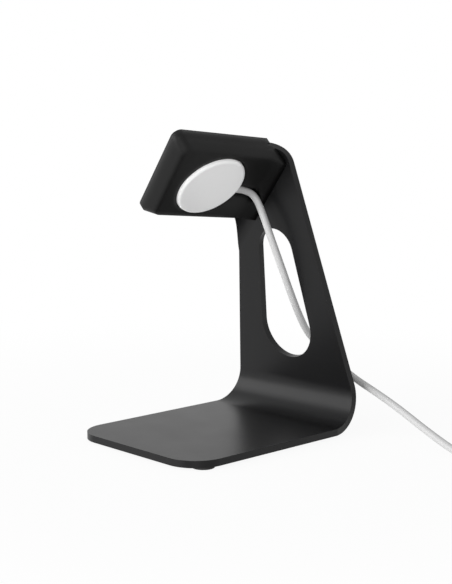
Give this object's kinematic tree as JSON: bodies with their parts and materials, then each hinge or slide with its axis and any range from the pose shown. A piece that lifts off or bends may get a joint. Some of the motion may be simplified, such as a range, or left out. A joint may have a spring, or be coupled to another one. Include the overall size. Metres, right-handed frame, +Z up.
{
  "type": "smartwatch charging stand",
  "caption": "Folded aluminium plate stand with a slotted leaning neck and a tilted arm, whose soft cradle holds a round corded watch charger.",
  "frame": {"origin": "On the table, under the middle of the stand's overall depth and width, cable left out.", "axes": "+X points to the free end of the arm and the front edge of the base, +Y to the rear of the watch side, +Z up."},
  "size_m": [0.1365, 0.1605, 0.1159],
  "materials": {
    "anodised_plate": "black anodised, fine satin",
    "foot_rubber": "matt",
    "cradle_rubber": "moulded soft matt",
    "white_plastic": "moulded gloss white",
    "copper_wire": "enamelled copper winding",
    "nickel_magnet": "nickel plated",
    "ferrite": "sintered matt grey",
    "board_laminate": "solder mask green",
    "white_cable": "smooth satin white jacket",
    "tie_strap": "soft white strap",
    "plug_steel": "nickel plated steel",
    "plug_tongue_plastic": "moulded",
    "contact_brass": "gold flash"
  },
  "bodies": {
    "root": {"stand_plate": "anodised_plate", "rubber_feet": "foot_rubber", "watch_cradle": "cradle_rubber", "puck_rear_shell": "white_plastic", "puck_charging_face": "white_plastic", "charging_coil": "copper_wire", "alignment_magnet": "nickel_magnet", "ferrite_shield": "ferrite", "circuit_board": "board_laminate", "puck_strain_relief": "white_cable", "cable_tube": "white_cable", "cable_coil": "white_cable", "cable_tie": "tie_strap", "cable_tail": "white_cable", "plug_strain_relief": "white_cable", "plug_body": "white_plastic", "plug_metal_shell": "plug_steel", "plug_tongue": "plug_tongue_plastic", "plug_contacts": "contact_brass"}
  },
  "joints": []
}
